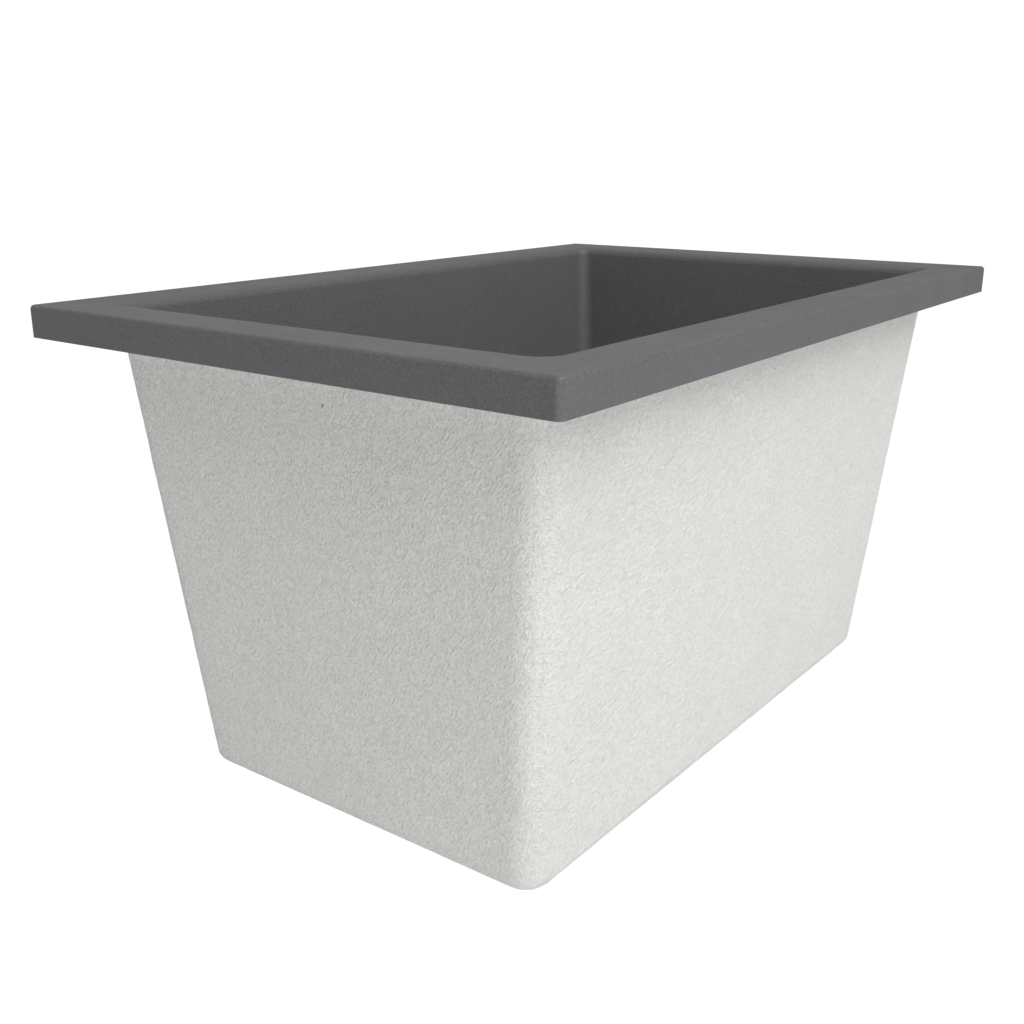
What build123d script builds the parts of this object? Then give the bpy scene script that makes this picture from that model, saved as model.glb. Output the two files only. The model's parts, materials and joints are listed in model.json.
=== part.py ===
"""Drop-in wash tub: a dark moulded liner with a turned-down rim, a rough glass-fibre
shell on its back, timber in the rim and under the floor, and a basket strainer drain.

Millimetres. The origin is the centre of the seat plane, which is the lower edge of the
rim lip. +X runs along the long side, +Z is up, and the drain is on the Z axis.
"""

from build123d import *

from math import cos, radians, sin
import os

# ---- driving dimensions ----

# rim and body
rim_length = 600.0
rim_width = 400.0
rim_height = 20.0
rim_corner = 4.0
rim_edge_round = 2.5
channel_edge_round = 1.0
body_seat_length = 529.0
body_seat_width = 335.0
body_base_length = 475.0
body_base_width = 281.0
body_depth = 300.0
body_corner = 18.0
body_base_round = 10.0
mouth_edge_round = 7.0

# skins
liner_skin = 2.5
rim_skin = 3.0
shell_skin = 2.0
shell_floor = 3.0
liner_back_corner = 14.0
cavity_corner = 9.5
cavity_floor_round = 9.0

# timber
board_thickness = 10.0
board_inset = 6.0
board_corner = 14.0
board_hole_radius = 65.0
batten_width = 18.0
batten_lip_gap = 1.5
batten_joint_gap = 0.5
flange_recess = 1.0
edge_ease = 1.0

# tub floor around the drain
floor_skin = 2.5
floor_fall = 3.0
fall_length = 430.0
fall_width = 236.0
fall_square = 132.0
recess_radius = 58.0
recess_depth = 3.0
drain_hole_radius = 45.0
well_radius = 62.0

# strainer body
flange_radius = 56.0
sheet = 1.2
cup_radius = 42.5
cup_depth = 50.0
cup_bend = 5.0
outlet_radius = 19.0
cross_bar_width = 4.0
cross_bar_height = 2.4
hub_radius = 7.0
hub_hole_radius = 3.3
spigot_radius = 23.9
spigot_bore_radius = 21.2
spigot_length = 20.0
thread_depth = 0.5
cup_thread_pitch = 2.0
cup_thread_turns = 11
spigot_thread_pitch = 2.309
spigot_thread_turns = 7

# seals and nuts
thread_gap = 0.1
flange_gasket_thickness = 1.5
clamp_gasket_thickness = 2.5
friction_washer_thickness = 0.8
seal_bore_radius = 43.2
clamp_gasket_radius = 54.0
locknut_radius = 54.0
locknut_height = 12.0
locknut_notches = 12
locknut_notch_width = 8.0
locknut_notch_depth = 3.5

# basket
basket_wall = 0.8
basket_radius = 39.0
basket_bend = 6.0
basket_rim_top = 11.0
basket_rim_wire = 1.2
basket_slots = 16
basket_slot_length = 17.0
basket_slot_width = 2.6
basket_slot_drop = 14.5
basket_floor_holes = 12
basket_floor_hole_radius = 1.7
basket_floor_hole_ring = 30.0
stopper_radius = 24.0
stopper_thickness = 4.0
stopper_gap = 0.3
stopper_nut_pocket_radius = 6.5
stopper_nut_pocket_depth = 2.8
stopper_nut_flats = 10.0
stopper_nut_height = 2.5
post_radius = 3.0
post_tip_radius = 2.9
post_tip_drop = 7.5
post_collar_radius = 6.0
post_collar_height = 1.5
knob_radius = 7.5
knob_height = 10.0
knob_socket_depth = 6.0
knob_top_drop = 1.2

# outlet pipe
tail_radius = 20.0
tail_bore_radius = 17.8
tail_neck_radius = 19.2
tail_length = 42.0
tail_flange_radius = 22.8
tail_flange_thickness = 2.0
tail_washer_thickness = 2.0
coupling_wall_radius = 28.5
coupling_rib_radius = 31.0
coupling_rib_width = 4.0
coupling_ribs = 12
coupling_engagement = 14.0
coupling_lip = 3.0
coupling_neck_gap = 0.4

# ---- levels worked out from the dimensions above ----

rim_underside = rim_height - rim_skin
lip_inner_length = rim_length - 2 * liner_skin
lip_inner_width = rim_width - 2 * liner_skin
liner_underside = -body_depth + shell_floor + board_thickness
drain_floor = liner_underside + floor_skin
cavity_floor = drain_floor + floor_fall
recess_floor = drain_floor - recess_depth
boss_underside = recess_floor - floor_skin

flange_underside = recess_floor + flange_gasket_thickness
flange_top = flange_underside + sheet
cup_floor_underside = flange_top - cup_depth
cup_floor_top = cup_floor_underside + sheet
spigot_end = cup_floor_underside - spigot_length
clamp_gasket_underside = boss_underside - clamp_gasket_thickness
friction_washer_underside = clamp_gasket_underside - friction_washer_thickness
locknut_underside = friction_washer_underside - locknut_height

stopper_underside = cup_floor_top + stopper_gap
stopper_top = stopper_underside + stopper_thickness
basket_floor_top = stopper_top + basket_wall
basket_rim = flange_top - basket_rim_top
post_tip = cup_floor_top - post_tip_drop
knob_top = flange_top - knob_top_drop
knob_underside = knob_top - knob_height
post_top = knob_underside + knob_socket_depth

tail_flange_top = spigot_end - tail_washer_thickness
tail_flange_underside = tail_flange_top - tail_flange_thickness
coupling_underside = tail_flange_underside - coupling_lip
neck_end = coupling_underside - thread_gap
tail_end = neck_end - tail_length

os.makedirs("parts", exist_ok=True)


# ---- shared shapes ----


def body_block(top, base, inset, corner, base_round):
    """The tub's tapered body between two heights, inset from its outer faces."""
    with BuildPart(mode=Mode.PRIVATE) as block:
        for height in (top, base):
            drop = -height / body_depth
            length = body_seat_length + (body_base_length - body_seat_length) * drop
            width = body_seat_width + (body_base_width - body_seat_width) * drop
            with BuildSketch(Plane.XY.offset(height)):
                RectangleRounded(length - 2 * inset, width - 2 * inset, corner)
        loft(ruled=True)
        fillet(block.faces().sort_by(Axis.Z)[0].edges(), base_round)
    return block.part


def ring(outer_radius, inner_radius, base, thickness):
    """A flat ring on the Z axis."""
    with BuildPart(mode=Mode.PRIVATE) as washer:
        with BuildSketch(Plane.XY.offset(base)):
            Circle(outer_radius)
            Circle(inner_radius, mode=Mode.SUBTRACT)
        extrude(amount=thickness)
    return washer.part


def thread_grooves(crest_radius, first, pitch, turns):
    """Vee rings that leave thread crests on an outside diameter."""
    half_width = 0.42 * pitch
    with BuildPart(mode=Mode.PRIVATE) as grooves:
        with BuildSketch(Plane.XZ):
            for turn in range(turns):
                level = first - turn * pitch
                with BuildLine():
                    Polyline(
                        (crest_radius + 0.01, level + half_width),
                        (crest_radius - thread_depth, level),
                        (crest_radius + 0.01, level - half_width),
                        close=True,
                    )
                make_face()
        revolve(axis=Axis.Z)
    return grooves.part


# ---- tub ----

liner_back = body_block(
    rim_underside,
    liner_underside,
    shell_skin,
    liner_back_corner,
    cavity_floor_round + liner_skin,
)
cavity = body_block(
    rim_height,
    cavity_floor,
    shell_skin + liner_skin,
    cavity_corner,
    cavity_floor_round,
)

# dark moulded liner: rim with its turned-down lip, walls, sloped floor and drain recess
with BuildPart() as liner:
    with BuildSketch():
        RectangleRounded(rim_length, rim_width, rim_corner)
    extrude(amount=rim_height)
    with BuildPart(mode=Mode.PRIVATE) as channel:
        with BuildSketch():
            RectangleRounded(lip_inner_length, lip_inner_width, rim_corner - liner_skin)
        extrude(amount=rim_underside)
        fillet(channel.faces().sort_by(Axis.Z)[-1].edges(), channel_edge_round)
    add(channel.part, mode=Mode.SUBTRACT)
    add(liner_back)
    with BuildSketch(Plane.XY.offset(boss_underside)):
        Circle(recess_radius + liner_skin)
    extrude(amount=liner_underside - boss_underside)
    add(cavity, mode=Mode.SUBTRACT)
    with BuildSketch(Plane.XY.offset(cavity_floor)):
        Rectangle(fall_length, fall_width)
    with BuildSketch(Plane.XY.offset(drain_floor)):
        Rectangle(fall_square, fall_square)
    loft(ruled=True, mode=Mode.SUBTRACT)
    with BuildSketch(Plane.XY.offset(recess_floor)):
        Circle(recess_radius)
    extrude(amount=recess_depth, mode=Mode.SUBTRACT)
    with BuildSketch(Plane.XY.offset(boss_underside)):
        Circle(drain_hole_radius)
    extrude(amount=floor_skin, mode=Mode.SUBTRACT)
    rim_face = liner.faces().sort_by(Axis.Z)[-1]
    fillet(rim_face.outer_wire().edges(), rim_edge_round)
    rim_face = liner.faces().sort_by(Axis.Z)[-1]
    fillet(rim_face.inner_wires()[0].edges(), mouth_edge_round)
liner.part.label = "liner"
export_step(liner.part, "parts/liner.step")

# sprayed glass-fibre shell: walls, floor and the sleeve round the drain well
shell_block = body_block(rim_underside, -body_depth, 0.0, body_corner, body_base_round)
with BuildPart() as outer_shell:
    add(shell_block)
    add(liner_back, mode=Mode.SUBTRACT)
    with BuildSketch(Plane.XY.offset(-body_depth + shell_floor)):
        RectangleRounded(
            body_base_length - 2 * board_inset,
            body_base_width - 2 * board_inset,
            board_corner,
        )
        Circle(board_hole_radius, mode=Mode.SUBTRACT)
    extrude(amount=board_thickness, mode=Mode.SUBTRACT)
    with BuildSketch(Plane.XY.offset(-body_depth)):
        Circle(well_radius)
    extrude(amount=shell_floor + board_thickness, mode=Mode.SUBTRACT)
outer_shell.part.label = "outer_shell"
export_step(outer_shell.part, "parts/outer_shell.step")

# laminate strip over the battens, which closes the rim channel from below
with BuildPart() as rim_cover:
    with BuildSketch(Plane.XY.offset(flange_recess)):
        RectangleRounded(lip_inner_length, lip_inner_width, rim_corner - liner_skin)
    extrude(amount=shell_skin)
    add(shell_block, mode=Mode.SUBTRACT)
rim_cover.part.label = "rim_cover"
export_step(rim_cover.part, "parts/rim_cover.step")

# stiffening board sealed between the liner's floor and the shell's floor
with BuildPart() as base_board:
    with BuildSketch(Plane.XY.offset(-body_depth + shell_floor)):
        RectangleRounded(
            body_base_length - 2 * board_inset,
            body_base_width - 2 * board_inset,
            board_corner,
        )
        Circle(board_hole_radius, mode=Mode.SUBTRACT)
    extrude(amount=board_thickness)
base_board.part.label = "base_board"
export_step(base_board.part, "parts/base_board.step")

# four timber battens stiffen the rim: long ones front and rear, short ones between them
batten_base = flange_recess + shell_skin
batten_height = rim_underside - batten_base
long_batten_length = lip_inner_length - 2 * batten_lip_gap
long_batten_offset = (lip_inner_width - batten_width) / 2 - batten_lip_gap
short_batten_length = 2 * (long_batten_offset - batten_width / 2 - batten_joint_gap)
short_batten_offset = (lip_inner_length - batten_width) / 2 - batten_lip_gap
battens = {
    "rim_batten_front": (0.0, -long_batten_offset, long_batten_length, batten_width),
    "rim_batten_rear": (0.0, long_batten_offset, long_batten_length, batten_width),
    "rim_batten_left": (-short_batten_offset, 0.0, batten_width, short_batten_length),
    "rim_batten_right": (short_batten_offset, 0.0, batten_width, short_batten_length),
}
for name, (centre_x, centre_y, size_x, size_y) in battens.items():
    with BuildPart() as batten:
        with BuildSketch(Plane.XY.offset(batten_base)):
            with Locations((centre_x, centre_y)):
                Rectangle(size_x, size_y)
        extrude(amount=batten_height)
        chamfer(batten.edges(), edge_ease)
    batten.part.label = name
    export_step(batten.part, f"parts/{name}.step")

# ---- strainer body and its seals ----

# pressed stainless cup with a flange, an outlet spigot and a cross that guides the post
with BuildPart() as strainer_body:
    with BuildSketch(Plane.XZ):
        with BuildLine():
            FilletPolyline(
                (flange_radius, flange_top - sheet / 2),
                (cup_radius - sheet / 2, flange_top - sheet / 2),
                (cup_radius - sheet / 2, cup_floor_underside + sheet / 2),
                (outlet_radius, cup_floor_underside + sheet / 2),
                radius=cup_bend,
            )
        trace(line_width=sheet)
    revolve(axis=Axis.Z)
    add(ring(spigot_radius, spigot_bore_radius, spigot_end, spigot_length + sheet / 2))
    with BuildSketch(Plane.XY.offset(cup_floor_top - cross_bar_height)):
        Circle(spigot_bore_radius + sheet)
        Circle(outlet_radius, mode=Mode.SUBTRACT)
        Rectangle(2 * outlet_radius + sheet, cross_bar_width)
        Rectangle(cross_bar_width, 2 * outlet_radius + sheet)
        Circle(hub_radius)
        Circle(hub_hole_radius, mode=Mode.SUBTRACT)
    extrude(amount=cross_bar_height)
    cup_threads = thread_grooves(
        cup_radius,
        boss_underside - cup_thread_pitch,
        cup_thread_pitch,
        cup_thread_turns,
    )
    add(cup_threads, mode=Mode.SUBTRACT)
    spigot_threads = thread_grooves(
        spigot_radius,
        cup_floor_underside - spigot_thread_pitch,
        spigot_thread_pitch,
        spigot_thread_turns,
    )
    add(spigot_threads, mode=Mode.SUBTRACT)
strainer_body.part.label = "strainer_body"
export_step(strainer_body.part, "parts/strainer_body.step")

# soft ring under the flange, above the tub's floor
with BuildPart() as flange_gasket:
    add(ring(flange_radius - 1.0, seal_bore_radius + 4.0, recess_floor, flange_gasket_thickness))
flange_gasket.part.label = "flange_gasket"
export_step(flange_gasket.part, "parts/flange_gasket.step")

# thick ring under the tub's floor
with BuildPart() as clamp_gasket:
    add(
        ring(
            clamp_gasket_radius,
            seal_bore_radius,
            clamp_gasket_underside,
            clamp_gasket_thickness,
        )
    )
clamp_gasket.part.label = "clamp_gasket"
export_step(clamp_gasket.part, "parts/clamp_gasket.step")

# slip ring that lets the locknut turn without dragging the gasket
with BuildPart() as friction_washer:
    add(
        ring(
            clamp_gasket_radius - 1.0,
            seal_bore_radius,
            friction_washer_underside,
            friction_washer_thickness,
        )
    )
friction_washer.part.label = "friction_washer"
export_step(friction_washer.part, "parts/friction_washer.step")

# ring nut with notches for a spanner
with BuildPart() as locknut:
    add(
        ring(
            locknut_radius,
            cup_radius + thread_gap,
            locknut_underside,
            locknut_height,
        )
    )
    with BuildSketch(Plane.XY.offset(locknut_underside)):
        with PolarLocations(locknut_radius, locknut_notches):
            Rectangle(2 * locknut_notch_depth, locknut_notch_width)
    extrude(amount=locknut_height - 3 * sheet, mode=Mode.SUBTRACT)
    chamfer(locknut.faces().sort_by(Axis.Z)[-1].outer_wire().edges(), edge_ease)
locknut.part.label = "locknut"
export_step(locknut.part, "parts/locknut.step")

# ---- lift-out basket ----

# perforated cup with a rolled rim
with BuildPart() as basket:
    with BuildSketch(Plane.XZ):
        with BuildLine():
            FilletPolyline(
                (basket_radius - basket_wall / 2, basket_rim - basket_rim_wire),
                (basket_radius - basket_wall / 2, stopper_top + basket_wall / 2),
                (post_radius, stopper_top + basket_wall / 2),
                radius=basket_bend,
            )
        trace(line_width=basket_wall)
    revolve(axis=Axis.Z)
    with BuildSketch(Plane.XZ):
        with Locations((basket_radius + basket_wall / 2, basket_rim - basket_rim_wire)):
            Circle(basket_rim_wire)
    revolve(axis=Axis.Z)
    for slot in range(basket_slots):
        bearing = radians(360.0 * slot / basket_slots)
        side = Plane(
            origin=(0, 0, basket_rim - basket_slot_drop),
            x_dir=(0, 0, 1),
            z_dir=(cos(bearing), sin(bearing), 0),
        )
        with BuildSketch(side):
            SlotOverall(basket_slot_length, basket_slot_width)
        extrude(amount=basket_radius + basket_rim_wire, mode=Mode.SUBTRACT)
    with BuildSketch(Plane.XY.offset(stopper_top)):
        with PolarLocations(basket_floor_hole_ring, basket_floor_holes):
            Circle(basket_floor_hole_radius)
    extrude(amount=basket_wall, mode=Mode.SUBTRACT)
basket.part.label = "basket"
export_step(basket.part, "parts/basket.step")

# rubber stopper that covers the outlet, with a pocket for its nut
with BuildPart() as basket_stopper:
    with BuildSketch(Plane.XY.offset(stopper_underside)):
        Circle(stopper_radius)
        Circle(post_radius, mode=Mode.SUBTRACT)
    extrude(amount=stopper_thickness)
    chamfer(basket_stopper.faces().sort_by(Axis.Z)[0].outer_wire().edges(), edge_ease)
    with BuildSketch(Plane.XY.offset(stopper_underside)):
        Circle(stopper_nut_pocket_radius)
    extrude(amount=stopper_nut_pocket_depth, mode=Mode.SUBTRACT)
basket_stopper.part.label = "basket_stopper"
export_step(basket_stopper.part, "parts/basket_stopper.step")

# steel post: guide tip, shoulder on the basket's floor, and a plain top for the knob
with BuildPart() as basket_post:
    with BuildSketch(Plane.XZ):
        with BuildLine():
            Polyline(
                (0, post_tip),
                (post_tip_radius - edge_ease, post_tip),
                (post_tip_radius, post_tip + edge_ease),
                (post_tip_radius, stopper_underside),
                (post_radius, stopper_underside),
                (post_radius, basket_floor_top),
                (post_collar_radius, basket_floor_top),
                (post_collar_radius, basket_floor_top + post_collar_height),
                (post_radius, basket_floor_top + post_collar_height),
                (post_radius, post_top),
                (0, post_top),
                close=True,
            )
        make_face()
    revolve(axis=Axis.Z)
basket_post.part.label = "basket_post"
export_step(basket_post.part, "parts/basket_post.step")

# turned knob, waisted so that fingers can lift it
with BuildPart() as basket_knob:
    with BuildSketch(Plane.XZ):
        with BuildLine():
            Polyline(
                (post_radius, post_top),
                (post_radius, knob_underside),
                (0.62 * knob_radius, knob_underside),
                (0.55 * knob_radius, knob_underside + 0.3 * knob_height),
                (knob_radius, knob_underside + 0.62 * knob_height),
                (knob_radius, knob_top),
                (0, knob_top),
                (0, post_top),
                close=True,
            )
        make_face()
    revolve(axis=Axis.Z)
    fillet(basket_knob.faces().sort_by(Axis.Z)[-1].edges(), edge_ease)
basket_knob.part.label = "basket_knob"
export_step(basket_knob.part, "parts/basket_knob.step")

# thin nut inside the stopper's pocket
with BuildPart() as stopper_nut:
    nut_base = stopper_underside + stopper_nut_pocket_depth - stopper_nut_height
    with BuildSketch(Plane.XY.offset(nut_base)):
        RegularPolygon(stopper_nut_flats / 2, 6, major_radius=False)
        Circle(post_radius, mode=Mode.SUBTRACT)
    extrude(amount=stopper_nut_height)
stopper_nut.part.label = "stopper_nut"
export_step(stopper_nut.part, "parts/stopper_nut.step")

# ---- outlet pipe ----

# flanged tube that a hose or trap slides onto
with BuildPart() as tailpiece:
    with BuildSketch(Plane.XZ):
        with BuildLine():
            Polyline(
                (tail_bore_radius, tail_flange_top),
                (tail_flange_radius, tail_flange_top),
                (tail_flange_radius, tail_flange_underside),
                (tail_neck_radius, tail_flange_underside),
                (tail_neck_radius, neck_end),
                (tail_radius, neck_end),
                (tail_radius, tail_end),
                (tail_bore_radius + edge_ease, tail_end),
                (tail_bore_radius, tail_end + edge_ease),
                close=True,
            )
        make_face()
    revolve(axis=Axis.Z)
tailpiece.part.label = "tailpiece"
export_step(tailpiece.part, "parts/tailpiece.step")

# soft washer between the spigot and the tailpiece flange
with BuildPart() as tailpiece_washer:
    add(ring(tail_flange_radius, tail_bore_radius + 0.5, tail_flange_top, tail_washer_thickness))
tailpiece_washer.part.label = "tailpiece_washer"
export_step(tailpiece_washer.part, "parts/tailpiece_washer.step")

# ribbed hand nut that clamps the tailpiece to the spigot
with BuildPart() as coupling_nut:
    coupling_height = spigot_end + coupling_engagement - coupling_underside
    with BuildSketch(Plane.XY.offset(coupling_underside)):
        Circle(coupling_wall_radius)
        with PolarLocations((coupling_wall_radius + coupling_rib_radius) / 2 - 1.0, coupling_ribs):
            Rectangle(coupling_rib_radius - coupling_wall_radius + 2.0, coupling_rib_width)
    extrude(amount=coupling_height)
    with BuildSketch(Plane.XY.offset(tail_flange_underside)):
        Circle(spigot_radius + thread_gap)
    extrude(amount=coupling_height, mode=Mode.SUBTRACT)
    with BuildSketch(Plane.XY.offset(coupling_underside)):
        Circle(tail_neck_radius + coupling_neck_gap)
    extrude(amount=coupling_lip, mode=Mode.SUBTRACT)
coupling_nut.part.label = "coupling_nut"
export_step(coupling_nut.part, "parts/coupling_nut.step")
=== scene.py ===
"""The looks of the wash tub: materials for the CAD pieces, a sprayed laminate skin for the
shell, soft studio light and the camera. Lengths are in metres, in the CAD model's frame."""

import json
import math

import bpy
from mathutils import Matrix, Vector, noise


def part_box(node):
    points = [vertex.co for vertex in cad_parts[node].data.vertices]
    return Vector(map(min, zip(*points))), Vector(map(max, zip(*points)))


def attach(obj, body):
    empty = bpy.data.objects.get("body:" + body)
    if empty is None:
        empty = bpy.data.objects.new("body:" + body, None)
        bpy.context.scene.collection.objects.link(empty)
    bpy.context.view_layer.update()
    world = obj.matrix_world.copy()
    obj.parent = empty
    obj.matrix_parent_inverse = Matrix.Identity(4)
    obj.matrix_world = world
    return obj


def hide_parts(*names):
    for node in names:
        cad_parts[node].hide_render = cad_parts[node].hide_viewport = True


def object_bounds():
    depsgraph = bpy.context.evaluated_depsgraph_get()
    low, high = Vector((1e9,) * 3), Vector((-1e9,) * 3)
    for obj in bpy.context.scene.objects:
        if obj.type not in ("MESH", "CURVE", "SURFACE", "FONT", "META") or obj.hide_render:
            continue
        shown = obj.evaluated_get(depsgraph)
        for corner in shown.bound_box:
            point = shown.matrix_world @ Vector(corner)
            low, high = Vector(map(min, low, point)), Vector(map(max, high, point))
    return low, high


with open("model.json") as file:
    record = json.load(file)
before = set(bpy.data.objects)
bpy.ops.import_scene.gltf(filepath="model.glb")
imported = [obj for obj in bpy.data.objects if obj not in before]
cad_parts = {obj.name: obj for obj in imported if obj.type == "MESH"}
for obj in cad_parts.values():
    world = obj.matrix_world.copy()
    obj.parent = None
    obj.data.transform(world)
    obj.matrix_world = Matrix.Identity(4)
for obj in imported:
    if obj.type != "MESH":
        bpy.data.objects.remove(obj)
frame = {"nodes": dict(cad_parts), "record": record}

cad_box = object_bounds()
MM = 0.001

# ---- the tub's tapered body, as the CAD has it ----

SEAT_SIZE = (0.529, 0.335)  # outside of the shell at the seat plane, z = 0
BASE_SIZE = (0.475, 0.281)  # and at the base, before its edge is rounded
BODY_CORNER = 0.018
BASE_ROUND = 0.010
RIM_UNDERSIDE = 0.017
SHELL_SKIN = 0.002
SHELL_FLOOR = 0.003
LINER_CORNER = 0.014  # corner and base edge of the liner's back
LINER_BASE_ROUND = 0.0115
BOARD_THICKNESS = 0.010
BOARD_INSET = 0.006
BOARD_CORNER = 0.014
BOARD_HOLE = 0.065
WELL_RADIUS = 0.062
FLANGE_CORNER = 0.0015

# ---- how finely the shell's skin is divided, and how rough it is ----

LONG_STEPS = 186
SHORT_STEPS = 114
CORNER_STEPS = 11
WALL_STEPS = 108
ROUND_STEPS = 5
BASE_STEPS = 14
FLANGE_STEPS = 4
COVE_RADIUS = 0.003
SHARP_ANGLE = math.radians(50)

WAVE_SIZE, WAVE_HEIGHT = 0.085, 0.14 * MM
LUMP_SIZE, LUMP_HEIGHT = 0.016, 0.16 * MM
STROKE_SIZE, STROKE_HEIGHT = 0.0065, 0.15 * MM
STROKE_STRETCH = 2.2
LUMP_ROUGHNESS, LUMP_GAP = 0.7, 2.0
STROKE_ROUGHNESS, STROKE_GAP = 0.6, 2.1
OCTAVES = 3
SIDE_STROKE_TILT = math.radians(28)  # from +X towards +Z on the long walls
END_STROKE_TILT = math.radians(-60)  # from +Y towards +Z on the short walls
SIDE_FROM, SIDE_SPAN = 0.5, 0.35  # how far a normal turns to Y before side strokes take over

# ---- the share of that relief on each part of the skin ----

TOP_RELIEF, TOP_RELIEF_STEP = 0.6, 0.2  # just under the rim, and what each ring below adds
EDGE_RELIEF_LOSS = 0.6  # lost from the wall's foot to the base, round the edge between them
BASE_RELIEF = 0.35
WELL_RELIEF = 0.2
FLANGE_RELIEF = 0.6
COVE_RELIEF = 0.4
SMOOTH = 0.0


# ---- materials ----


class Finish:
    """A Principled material, with short calls for the nodes that feed it."""

    def __init__(self, name, color, roughness, specular=0.5, metallic=0.0):
        self.material = bpy.data.materials.new(name)
        self.material.use_nodes = True
        self.tree = self.material.node_tree
        self.shader = self.tree.nodes["Principled BSDF"]
        self.shader.inputs["Base Color"].default_value = (*color, 1.0)
        self.shader.inputs["Roughness"].default_value = roughness
        self.shader.inputs["Specular IOR Level"].default_value = specular
        self.shader.inputs["Metallic"].default_value = metallic
        self.place = self.node("TexCoord").outputs["Object"]
        self.height = None

    def node(self, kind, **settings):
        made = self.tree.nodes.new("ShaderNode" + kind)
        for key, value in settings.items():
            setattr(made, key, value)
        return made

    def link(self, value, socket):
        """Feeds a socket from another socket, or sets it to a plain value."""
        if isinstance(value, bpy.types.NodeSocket):
            self.tree.links.new(value, socket)
        else:
            socket.default_value = value

    def math(self, operation, a, b=0.0):
        made = self.node("Math", operation=operation)
        for value, socket in zip((a, b), made.inputs):
            self.link(value, socket)
        return made.outputs[0]

    def stretched(self, turn=(0, 0, 0), scale=(1, 1, 1)):
        """Object coordinates turned, then shrunk along the turned axes."""
        made = self.node("Mapping", vector_type="TEXTURE")
        made.inputs["Rotation"].default_value = turn
        made.inputs["Scale"].default_value = scale
        self.link(self.place, made.inputs["Vector"])
        return made.outputs[0]

    def noise(self, size, detail=3.0, rough=0.5, at=None, distortion=0.0):
        """Noise whose features are about this size, in metres, from 0 to 1."""
        made = self.node("TexNoise")
        made.inputs["Scale"].default_value = 1.0 / size
        made.inputs["Detail"].default_value = detail
        made.inputs["Roughness"].default_value = rough
        made.inputs["Distortion"].default_value = distortion
        self.link(self.place if at is None else at, made.inputs["Vector"])
        return made.outputs["Fac"]

    def cells(self, size, at=None):
        made = self.node("TexVoronoi")
        made.inputs["Scale"].default_value = 1.0 / size
        self.link(self.place if at is None else at, made.inputs["Vector"])
        return made

    def ramp(self, value, low, high, to_low=0.0, to_high=1.0):
        """Maps low..high to to_low..to_high smoothly, and holds it outside."""
        made = self.node("MapRange", interpolation_type="SMOOTHSTEP")
        for key, number in (
            ("From Min", low),
            ("From Max", high),
            ("To Min", to_low),
            ("To Max", to_high),
        ):
            made.inputs[key].default_value = number
        self.link(value, made.inputs["Value"])
        return made.outputs[0]

    def tint(self, factor, a, b):
        """A colour between a and b, which are colours or sockets."""
        made = self.node("Mix", data_type="RGBA")
        self.link(factor, made.inputs[0])
        for value, socket in ((a, made.inputs[6]), (b, made.inputs[7])):
            self.link((*value, 1.0) if isinstance(value, tuple) else value, socket)
        return made.outputs[2]

    def blend(self, factor, a, b):
        """A number between a and b."""
        made = self.node("Mix")
        self.link(factor, made.inputs[0])
        self.link(a, made.inputs[2])
        self.link(b, made.inputs[3])
        return made.outputs[0]

    def facing(self, axis):
        """1 where the surface faces along an axis, either way."""
        split = self.node("SeparateXYZ")
        self.link(self.node("NewGeometry").outputs["Normal"], split.inputs[0])
        return self.ramp(self.math("ABSOLUTE", split.outputs[axis]), 0.55, 0.85)

    def edge_wear(self, radius):
        """1 on outside edges and 0 on flat surfaces."""
        bevel = self.node("Bevel", samples=4)
        bevel.inputs["Radius"].default_value = radius
        dot = self.node("VectorMath", operation="DOT_PRODUCT")
        self.link(bevel.outputs[0], dot.inputs[0])
        self.link(self.node("NewGeometry").outputs["Normal"], dot.inputs[1])
        return self.ramp(dot.outputs["Value"], 0.98, 0.9)

    def color(self, value):
        self.link(value, self.shader.inputs["Base Color"])

    def roughness(self, value):
        self.link(value, self.shader.inputs["Roughness"])

    def bump(self, value, depth):
        """Adds relief of this depth, in metres."""
        made = self.node("Bump")
        made.inputs["Strength"].default_value = 1.0
        made.inputs["Distance"].default_value = depth
        self.link(value, made.inputs["Height"])
        if self.height:
            self.link(self.height, made.inputs["Normal"])
        self.height = made.outputs["Normal"]
        self.link(self.height, self.shader.inputs["Normal"])


def liner_resin():
    """Dark grey moulded resin: satin, with a fine leather grain whose raised points carry painted light, and
    faint cloudiness.
    """
    f = Finish("liner_resin", (0.112, 0.112, 0.117), 0.48, specular=0.36)
    cloud = f.noise(0.14, detail=4.0, rough=0.55)
    grain = f.noise(1.1 * MM, detail=2.0, rough=0.6)
    pores = f.ramp(f.cells(1.6 * MM).outputs["Distance"], 0.0, 0.75)
    shade = f.tint(f.ramp(cloud, 0.3, 0.7), (0.097, 0.097, 0.102), (0.105, 0.105, 0.110))
    # painted light: the raised points of the grain are coloured paler, as the relief would catch the light
    f.color(f.tint(f.math("MULTIPLY", f.ramp(grain, 0.35, 0.7), 0.75), shade, (0.148, 0.148, 0.154)))
    f.roughness(f.ramp(f.noise(0.05, detail=5.0, rough=0.6), 0.3, 0.7, 0.42, 0.54))
    f.bump(f.noise(0.03, detail=2.0), 0.10 * MM)
    f.bump(f.math("ADD", f.math("MULTIPLY", grain, 0.7), f.math("MULTIPLY", pores, 0.3)), 0.22 * MM)
    return f.material


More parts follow.
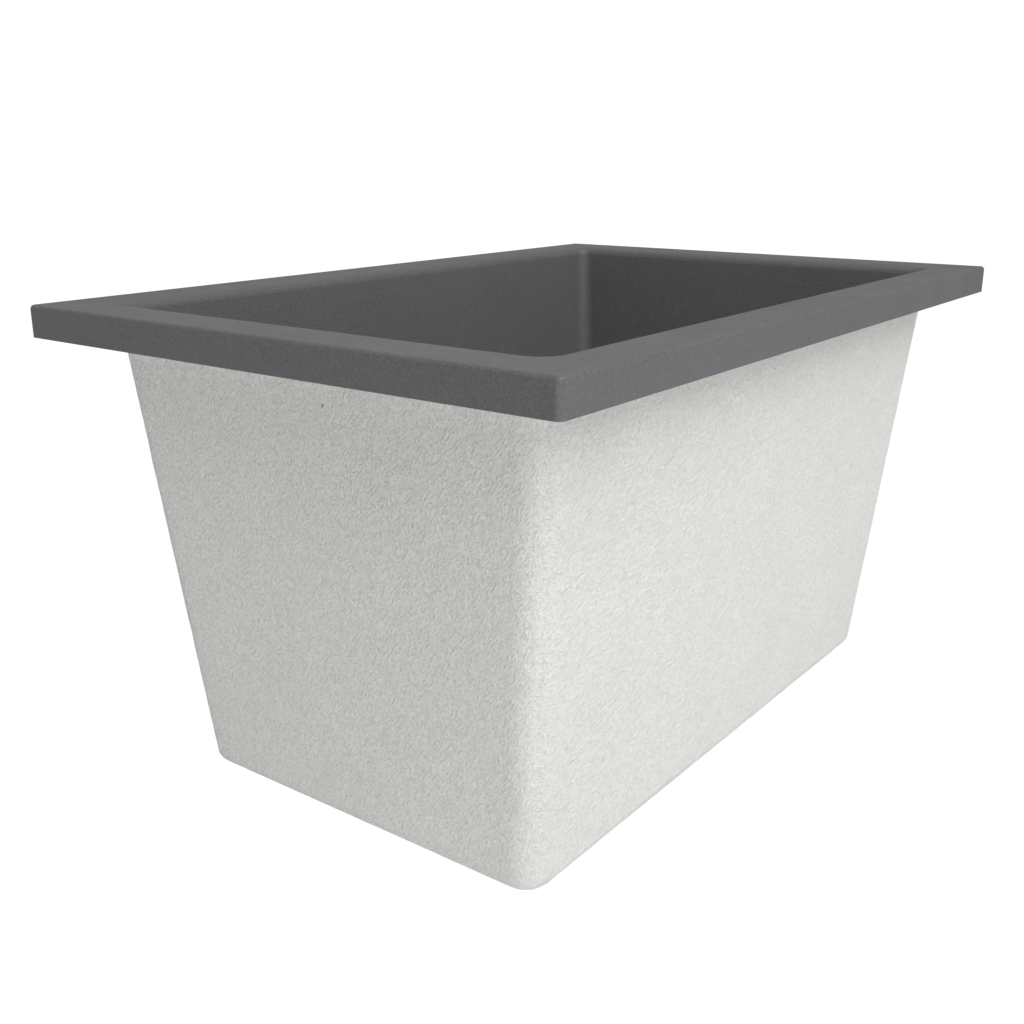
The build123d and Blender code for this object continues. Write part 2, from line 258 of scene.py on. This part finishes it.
def shell_laminate():
    """Off-white sprayed laminate: trowelled strokes over a fine grain, with a few nicks, and painted shade
    darkening the strokes' troughs, the grain's hollows and the nicks.
    """
    f = Finish("shell_laminate", (0.80, 0.79, 0.77), 0.82, specular=0.3)
    on_side = f.facing("Y")
    on_base = f.facing("Z")

    def by_wall(make):
        """One texture per direction that a wall faces, so that none is smeared."""
        side = make(f.stretched((0, -SIDE_STROKE_TILT, 0), (STROKE_STRETCH, 1, 1)))
        end = make(f.stretched((END_STROKE_TILT, 0, 0), (1, STROKE_STRETCH, 1)))
        base = make(f.stretched((0, 0, SIDE_STROKE_TILT), (STROKE_STRETCH, 1, 1)))
        return f.blend(on_base, f.blend(on_side, end, side), base)

    strokes = by_wall(lambda at: f.noise(4.2 * MM, detail=3.0, rough=0.55, at=at, distortion=0.4))
    fibres = by_wall(lambda at: f.noise(1.3 * MM, detail=2.0, rough=0.6, at=at))
    sand = f.noise(0.8 * MM, detail=1.0, rough=0.6)
    patches = f.noise(0.06, detail=4.0, rough=0.6)

    def nick(at):
        """A small dent in the middle of a few of the cells; the same mask sets where the nicks' shade is
        painted.
        """
        cell = f.cells(26 * MM, at=at)
        chance = f.node("SeparateColor")
        f.link(cell.outputs["Color"], chance.inputs[0])
        depth = f.ramp(cell.outputs["Distance"], 0.016, 0.034, 1.0, 0.0)
        return f.math("MULTIPLY", depth, f.math("GREATER_THAN", chance.outputs[0], 0.72))

    dent_depth_and_shade = by_wall(nick)
    painted_shade_grain = f.math("ADD", f.math("MULTIPLY", fibres, 0.65), f.math("MULTIPLY", sand, 0.35))
    shade = f.tint(f.ramp(patches, 0.3, 0.7), (0.835, 0.828, 0.81), (0.865, 0.86, 0.845))
    # painted shade: the troughs of the trowel strokes are darkened, as if shaded
    shade = f.tint(f.math("MULTIPLY", f.ramp(strokes, 0.5, 0.25), 0.5), shade, (0.74, 0.73, 0.71))
    # painted shade: the hollows of the fine fibres and sand are darkened, as if shaded
    shade = f.tint(f.math("MULTIPLY", f.ramp(painted_shade_grain, 0.6, 0.38), 0.8), shade, (0.70, 0.69, 0.67))
    # painted shade: the nicks are coloured nearly black, standing in for the shade inside the dents
    f.color(f.tint(f.math("MULTIPLY", dent_depth_and_shade, 0.85), shade, (0.16, 0.155, 0.15)))
    f.roughness(f.ramp(strokes, 0.3, 0.7, 0.9, 0.74))
    f.bump(strokes, 1.0 * MM)
    f.bump(fibres, 1.5 * MM)
    f.bump(sand, 0.7 * MM)
    f.bump(f.math("SUBTRACT", 1.0, dent_depth_and_shade), 0.5 * MM)
    return f.material


def sawn_timber(name, light, dark, along):
    """Sawn softwood: long grain lines along one axis and saw marks."""
    f = Finish(name, light, 0.75, specular=0.25)
    long_grain = {"X": (22, 1, 1), "Y": (1, 22, 1)}[along]
    grain = f.noise(2.4 * MM, detail=6.0, rough=0.62, at=f.stretched(scale=long_grain), distortion=0.6)
    rings = f.noise(9 * MM, detail=3.0, rough=0.5, at=f.stretched(scale=long_grain), distortion=1.2)
    streaks = f.math("ADD", f.math("MULTIPLY", grain, 0.6), f.math("MULTIPLY", rings, 0.4))
    f.color(f.tint(f.ramp(streaks, 0.38, 0.62), dark, light))
    f.roughness(f.ramp(grain, 0.3, 0.7, 0.85, 0.65))
    f.bump(grain, 0.18 * MM)
    f.bump(f.noise(1.2 * MM, detail=2.0, at=f.stretched(scale=(1, 1, 8))), 0.06 * MM)
    return f.material


def chip_board():
    """Pressed board: overlapping flakes of a few colours."""
    f = Finish("timber_board", (0.62, 0.48, 0.32), 0.8, specular=0.25)
    flakes = f.cells(7 * MM, at=f.stretched((0, 0, 0.5), (2.0, 1, 1)))
    tone = f.node("SeparateColor")
    f.link(flakes.outputs["Color"], tone.inputs[0])
    chips = f.tint(tone.outputs[0], (0.46, 0.33, 0.20), (0.72, 0.58, 0.40))
    dust = f.noise(1.5 * MM, detail=4.0, rough=0.65)
    f.color(f.tint(f.math("MULTIPLY", f.ramp(dust, 0.45, 0.7), 0.4), chips, (0.34, 0.24, 0.15)))
    f.bump(f.math("ADD", f.math("MULTIPLY", tone.outputs[1], 0.5), dust), 0.2 * MM)
    return f.material


def stainless():
    """Pressed stainless steel: fine turned lines round the drain's axis and soft smudges."""
    f = Finish("stainless", (0.62, 0.615, 0.60), 0.28, metallic=1.0)
    split = f.node("SeparateXYZ")
    f.link(f.place, split.inputs[0])
    across = f.math("SQRT", f.math("ADD", f.math("POWER", split.outputs[0], 2.0),
                                   f.math("POWER", split.outputs[1], 2.0)))
    polar = f.node("CombineXYZ")
    f.link(across, polar.inputs[0])
    f.link(split.outputs[2], polar.inputs[1])
    lines = f.noise(0.35 * MM, detail=3.0, rough=0.7, at=polar.outputs[0])
    smudge = f.noise(0.02, detail=4.0, rough=0.6)
    f.color(f.tint(f.ramp(smudge, 0.3, 0.7), (0.56, 0.555, 0.54), (0.66, 0.655, 0.64)))
    f.roughness(f.math("ADD", f.ramp(lines, 0.3, 0.7, 0.2, 0.34), f.ramp(smudge, 0.35, 0.75, 0.0, 0.1)))
    f.bump(lines, 0.012 * MM)
    return f.material


def rubber(name, color, grain):
    """Soft moulded rubber with a dusty bloom."""
    f = Finish(name, color, 0.8, specular=0.3)
    bloom = f.noise(0.012, detail=5.0, rough=0.65)
    speck = f.noise(grain, detail=2.0, rough=0.6)
    pale = tuple(1.9 * c + 0.01 for c in color)
    f.color(f.tint(f.ramp(bloom, 0.45, 0.75), color, pale))
    f.roughness(f.ramp(bloom, 0.3, 0.7, 0.7, 0.9))
    f.bump(speck, 0.05 * MM)
    return f.material


def pressed_fibre():
    """Slip washer of pressed fibre: long flecks in a dull card."""
    f = Finish("fibre_washer", (0.45, 0.38, 0.30), 0.9, specular=0.2)
    flecks = f.noise(0.9 * MM, detail=4.0, rough=0.7, at=f.stretched((0, 0, 0.7), (5, 1, 1)))
    f.color(f.tint(f.ramp(flecks, 0.4, 0.65), (0.38, 0.31, 0.24), (0.52, 0.45, 0.36)))
    f.bump(flecks, 0.06 * MM)
    return f.material


def moulded_plastic(name, color, roughness):
    """Moulded pipe plastic: faint flow marks, fine texture and rubbed edges."""
    f = Finish(name, color, roughness, specular=0.45)
    flow = f.noise(0.018, detail=3.0, rough=0.5, at=f.stretched(scale=(1, 1, 3)))
    speck = f.noise(0.5 * MM, detail=2.0, rough=0.6)
    dim = tuple(0.88 * c for c in color)
    rubbed = tuple(min(1.0, 1.25 * c + 0.02) for c in color)
    f.color(f.tint(f.math("MULTIPLY", f.edge_wear(0.6 * MM), 0.5),
                   f.tint(f.ramp(flow, 0.3, 0.7), dim, color), rubbed))
    f.roughness(f.ramp(flow, 0.3, 0.7, roughness - 0.08, roughness + 0.1))
    f.bump(speck, 0.02 * MM)
    return f.material


PALE_TIMBER, DARK_TIMBER = (0.70, 0.55, 0.36), (0.50, 0.35, 0.20)
finishes = {
    "liner_resin": liner_resin(),
    "shell_laminate": shell_laminate(),
    "timber_board": chip_board(),
    "timber_long": sawn_timber("timber_long", PALE_TIMBER, DARK_TIMBER, "X"),
    "timber_short": sawn_timber("timber_short", PALE_TIMBER, DARK_TIMBER, "Y"),
    "stainless": stainless(),
    "foam_rubber": rubber("foam_rubber", (0.10, 0.10, 0.10), 0.7 * MM),
    "black_rubber": rubber("black_rubber", (0.035, 0.035, 0.035), 0.4 * MM),
    "fibre_washer": pressed_fibre(),
    "nut_plastic": moulded_plastic("nut_plastic", (0.16, 0.16, 0.165), 0.5),
    "pipe_plastic": moulded_plastic("pipe_plastic", (0.80, 0.80, 0.78), 0.42),
}
slot_of = {part["node"]: part["material_slot"] for part in frame["record"]["subparts"]}
timber_run = {
    "rim_batten_front": "timber_long",
    "rim_batten_rear": "timber_long",
    "rim_batten_left": "timber_short",
    "rim_batten_right": "timber_short",
}
for node_name, node in frame["nodes"].items():
    node.data.materials.clear()
    node.data.materials.append(finishes[timber_run.get(node_name, slot_of[node_name])])


def add_object(name, data):
    """A new object in the scene."""
    made = bpy.data.objects.new(name, data)
    bpy.context.scene.collection.objects.link(made)
    return made


# ---- the shell's sprayed skin ----


def outline(length, width, corner):
    """Points round a rounded rectangle, always the same number in the same order."""
    points = []
    half_x, half_y = length / 2 - corner, width / 2 - corner
    centres = [(half_x, half_y), (-half_x, half_y), (-half_x, -half_y), (half_x, -half_y)]
    for quarter, (centre_x, centre_y) in enumerate(centres):
        for step in range(CORNER_STEPS):
            angle = math.radians(90 * (quarter + step / CORNER_STEPS))
            points.append(Vector((centre_x + corner * math.cos(angle), centre_y + corner * math.sin(angle))))
        turn = math.radians(90 * (quarter + 1))
        outward = Vector((math.cos(turn), math.sin(turn))) * corner
        begin = Vector((centre_x, centre_y)) + outward
        end = Vector(centres[(quarter + 1) % 4]) + outward
        count = SHORT_STEPS if quarter % 2 else LONG_STEPS
        points += [begin.lerp(end, step / count) for step in range(count)]
    return points


def body_outline(level, inset=0.0, corner=BODY_CORNER):
    """The tapered body's outline at a level, inset from its outer faces."""
    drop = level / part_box("outer_shell")[0].z
    length, width = (
        seat + (base - seat) * drop - 2 * inset for seat, base in zip(SEAT_SIZE, BASE_SIZE)
    )
    return outline(length, width, corner)


def at_level(points, level):
    return [Vector((point.x, point.y, level)) for point in points]


def body_ring(level, inset=0.0, corner=BODY_CORNER):
    return at_level(body_outline(level, inset, corner), level)


def quarter_turn(first=1):
    """Angles up to 90 degrees, in the steps that a rounded edge is divided into."""
    return [math.radians(90) * step / ROUND_STEPS for step in range(first, ROUND_STEPS + 1)]


def towards(points, others, share):
    """The ring a share of the way from one ring to another."""
    return [point.lerp(other, share) for point, other in zip(points, others)]


def circle_of(points, radius):
    """A circle whose points lie on the same bearings as another ring's."""
    return [point.normalized() * radius for point in points]


def shell_rings():
    """Closed loop of rings round the shell's section, each with its share of the relief."""
    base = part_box("outer_shell")[0].z
    rings = []

    # wall, base edge and base
    wall_end = base + BASE_ROUND
    rings.append((body_ring(RIM_UNDERSIDE), SMOOTH))
    for step in range(WALL_STEPS + 1):
        relief = min(1.0, TOP_RELIEF + TOP_RELIEF_STEP * step)
        rings.append((body_ring(wall_end * step / WALL_STEPS), relief))
    edge_top, edge_low = body_outline(wall_end), body_outline(base, BASE_ROUND, BODY_CORNER - BASE_ROUND)
    for step, angle in enumerate(quarter_turn(), 1):
        ring = towards(edge_low, edge_top, math.cos(angle))
        level = wall_end - BASE_ROUND * math.sin(angle)
        rings.append((at_level(ring, level), 1.0 - EDGE_RELIEF_LOSS * step / ROUND_STEPS))
    well = circle_of(edge_low, WELL_RADIUS)
    for step in range(1, BASE_STEPS + 1):
        rings.append((at_level(towards(edge_low, well, step / BASE_STEPS), base), BASE_RELIEF))

    # sleeve round the drain well, then the hidden side against the board and liner
    sleeve_top = base + SHELL_FLOOR + BOARD_THICKNESS
    hole = circle_of(edge_low, BOARD_HOLE)
    board = outline(BASE_SIZE[0] - 2 * BOARD_INSET, BASE_SIZE[1] - 2 * BOARD_INSET, BOARD_CORNER)
    board_low = base + SHELL_FLOOR
    for ring, level, relief in (
        (well, board_low, WELL_RELIEF),
        (well, sleeve_top, WELL_RELIEF),
        (hole, sleeve_top, SMOOTH),
        (hole, board_low, SMOOTH),
        (board, board_low, SMOOTH),
        (board, sleeve_top, SMOOTH),
    ):
        rings.append((at_level(ring, level), relief))
    back_low = body_outline(
        sleeve_top, SHELL_SKIN + LINER_BASE_ROUND, LINER_CORNER - LINER_BASE_ROUND
    )
    back_top = body_outline(sleeve_top + LINER_BASE_ROUND, SHELL_SKIN, LINER_CORNER)
    for angle in quarter_turn(0):
        ring = towards(back_low, back_top, math.sin(angle))
        level = sleeve_top + LINER_BASE_ROUND * (1 - math.cos(angle))
        rings.append((at_level(ring, level), SMOOTH))
    rings.append((body_ring(RIM_UNDERSIDE, SHELL_SKIN, LINER_CORNER), SMOOTH))
    return rings


def cover_rings():
    """Closed loop of rings round the section of the strip that covers the battens."""
    low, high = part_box("rim_cover")
    outer = outline(high.x - low.x, high.y - low.y, FLANGE_CORNER)
    cove_top = body_outline(low.z - COVE_RADIUS)
    cove_out = body_outline(low.z, -COVE_RADIUS, BODY_CORNER + COVE_RADIUS)
    rings = [(at_level(outer, high.z), SMOOTH), (at_level(outer, low.z), SMOOTH)]
    for step in range(1, FLANGE_STEPS + 1):
        ring = towards(outer, cove_out, step / FLANGE_STEPS)
        rings.append((at_level(ring, low.z), FLANGE_RELIEF))
    for angle in quarter_turn():
        ring = towards(cove_out, cove_top, math.sin(angle))
        rings.append((at_level(ring, low.z - COVE_RADIUS * (1 - math.cos(angle))), COVE_RELIEF))
    rings.append((body_ring(low.z, 0.5 * SHELL_SKIN), SMOOTH))
    rings.append((body_ring(high.z), SMOOTH))
    return rings


def stroke(place, turn):
    """Noise drawn out along one turned axis, like trowel strokes."""
    local = turn @ place
    local.x /= STROKE_STRETCH
    return noise.fractal(local / STROKE_SIZE, STROKE_ROUGHNESS, STROKE_GAP, OCTAVES)


SIDE_TURN = Matrix.Rotation(SIDE_STROKE_TILT, 3, "Y")
SWAP_X_AND_Y = Matrix(((0, 1, 0), (1, 0, 0), (0, 0, 1)))
END_TURN = SWAP_X_AND_Y @ Matrix.Rotation(-END_STROKE_TILT, 3, "X")


def laminate_height(place, normal):
    """How far the sprayed surface stands from its smooth shape at a point."""
    waves = noise.noise(place / WAVE_SIZE) * WAVE_HEIGHT
    lumps = noise.fractal(place / LUMP_SIZE, LUMP_ROUGHNESS, LUMP_GAP, OCTAVES) * LUMP_HEIGHT
    side = min(1.0, max(0.0, (abs(normal.y) - SIDE_FROM) / SIDE_SPAN))
    strokes = side * stroke(place, SIDE_TURN) + (1 - side) * stroke(place, END_TURN)
    return waves + lumps + strokes * STROKE_HEIGHT


def laminate_piece(name, rings, node):
    """A closed mesh through a loop of rings, roughened, that stands for a CAD node."""
    count = len(rings[0][0])
    points = [point for ring, _ in rings for point in ring]
    reliefs = [relief for ring, relief in rings for _ in ring]
    faces = []
    for row in range(len(rings)):
        below = (row + 1) % len(rings)
        for column in range(count):
            after = (column + 1) % count
            faces.append((row * count + column, below * count + column,
                          below * count + after, row * count + after))
    mesh = bpy.data.meshes.new(name)
    mesh.from_pydata(points, [], faces)
    mesh.update()
    normals = [vertex.normal.copy() for vertex in mesh.vertices]
    for vertex, normal, relief in zip(mesh.vertices, normals, reliefs):
        if relief:
            vertex.co += normal * laminate_height(vertex.co, normal) * relief
    mesh.shade_smooth()
    mesh.set_sharp_from_angle(angle=SHARP_ANGLE)
    mesh.update()
    piece = add_object(name, mesh)
    mesh.materials.append(finishes["shell_laminate"])
    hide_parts(node)
    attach(piece, "tub")


laminate_piece("shell_skin", shell_rings(), "outer_shell")
laminate_piece("rim_cover_skin", cover_rings(), "rim_cover")


# ---- floor, light and camera ----

CAMERA_PLACE = Vector((-0.7110, -0.4838, 0.1135))
CAMERA_YAW = math.radians(37.03)
CAMERA_PITCH = math.radians(-17.08)
CAMERA_ROLL = math.radians(-0.06)
CAMERA_LENS = 41.95
SENSOR = 36.0

FLOOR_HALF = 6.0
SKY_LIGHT = 0.36
BACKDROP = 1.05
PANEL_DISTANCE = 2.6


def seen_white(tree, lit):
    """A shader that looks plain white to the camera and acts as lit for everything else."""
    path = tree.nodes.new("ShaderNodeLightPath")
    white = tree.nodes.new("ShaderNodeEmission")
    white.inputs["Strength"].default_value = BACKDROP
    mix = tree.nodes.new("ShaderNodeMixShader")
    tree.links.new(path.outputs["Is Camera Ray"], mix.inputs[0])
    tree.links.new(lit, mix.inputs[1])
    tree.links.new(white.outputs[0], mix.inputs[2])
    return mix.outputs[0]


def add_floor(level):
    corners = [(-1, -1), (1, -1), (1, 1), (-1, 1)]
    mesh = bpy.data.meshes.new("floor")
    mesh.from_pydata([(x * FLOOR_HALF, y * FLOOR_HALF, level) for x, y in corners], [], [(0, 1, 2, 3)])
    floor = add_object("floor", mesh)
    material = bpy.data.materials.new("pale_floor")
    material.use_nodes = True
    tree = material.node_tree
    surface = tree.nodes["Principled BSDF"]
    surface.inputs["Base Color"].default_value = (0.85, 0.85, 0.85, 1.0)
    surface.inputs["Roughness"].default_value = 0.9
    output = tree.nodes["Material Output"]
    tree.links.new(seen_white(tree, surface.outputs[0]), output.inputs[0])
    mesh.materials.append(material)


def add_world():
    world = bpy.data.worlds.new("studio")
    world.use_nodes = True
    tree = world.node_tree
    sky = tree.nodes["Background"]
    sky.inputs["Color"].default_value = (1.0, 1.0, 1.0, 1.0)
    sky.inputs["Strength"].default_value = SKY_LIGHT
    output = tree.nodes["World Output"]
    tree.links.new(seen_white(tree, sky.outputs[0]), output.inputs[0])
    bpy.context.scene.world = world


def add_panel(name, direction, size, power):
    """A square soft box that faces the tub from a direction."""
    light = bpy.data.lights.new(name, "AREA")
    light.shape = "SQUARE"
    light.size = size
    light.energy = power
    panel = add_object(name, light)
    middle = Vector([(a + b) / 2 for a, b in zip(*cad_box)])
    panel.location = middle + Vector(direction).normalized() * PANEL_DISTANCE
    panel.rotation_euler = (middle - panel.location).to_track_quat("-Z", "Y").to_euler()


def add_camera():
    data = bpy.data.cameras.new("camera")
    data.lens = CAMERA_LENS
    data.sensor_width = SENSOR
    camera = add_object("camera", data)
    aim = Matrix.Rotation(CAMERA_YAW - math.radians(90), 4, "Z") @ Matrix.Rotation(
        CAMERA_PITCH + math.radians(90), 4, "X"
    )
    camera.matrix_world = Matrix.Translation(CAMERA_PLACE) @ aim @ Matrix.Rotation(CAMERA_ROLL, 4, "Z")
    bpy.context.scene.camera = camera


add_floor(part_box("tailpiece")[0].z)
add_world()
add_panel("key", (-0.2, -0.6, 0.77), size=2.2, power=61.0)
add_panel("rear", (0.3, 0.5, 0.8), size=2.2, power=4.0)
add_panel("front", (-0.8, -0.6, 0.03), size=0.6, power=6.0)
add_camera()
bpy.context.scene.view_settings.view_transform = "Standard"
bpy.context.scene.view_settings.look = "None"
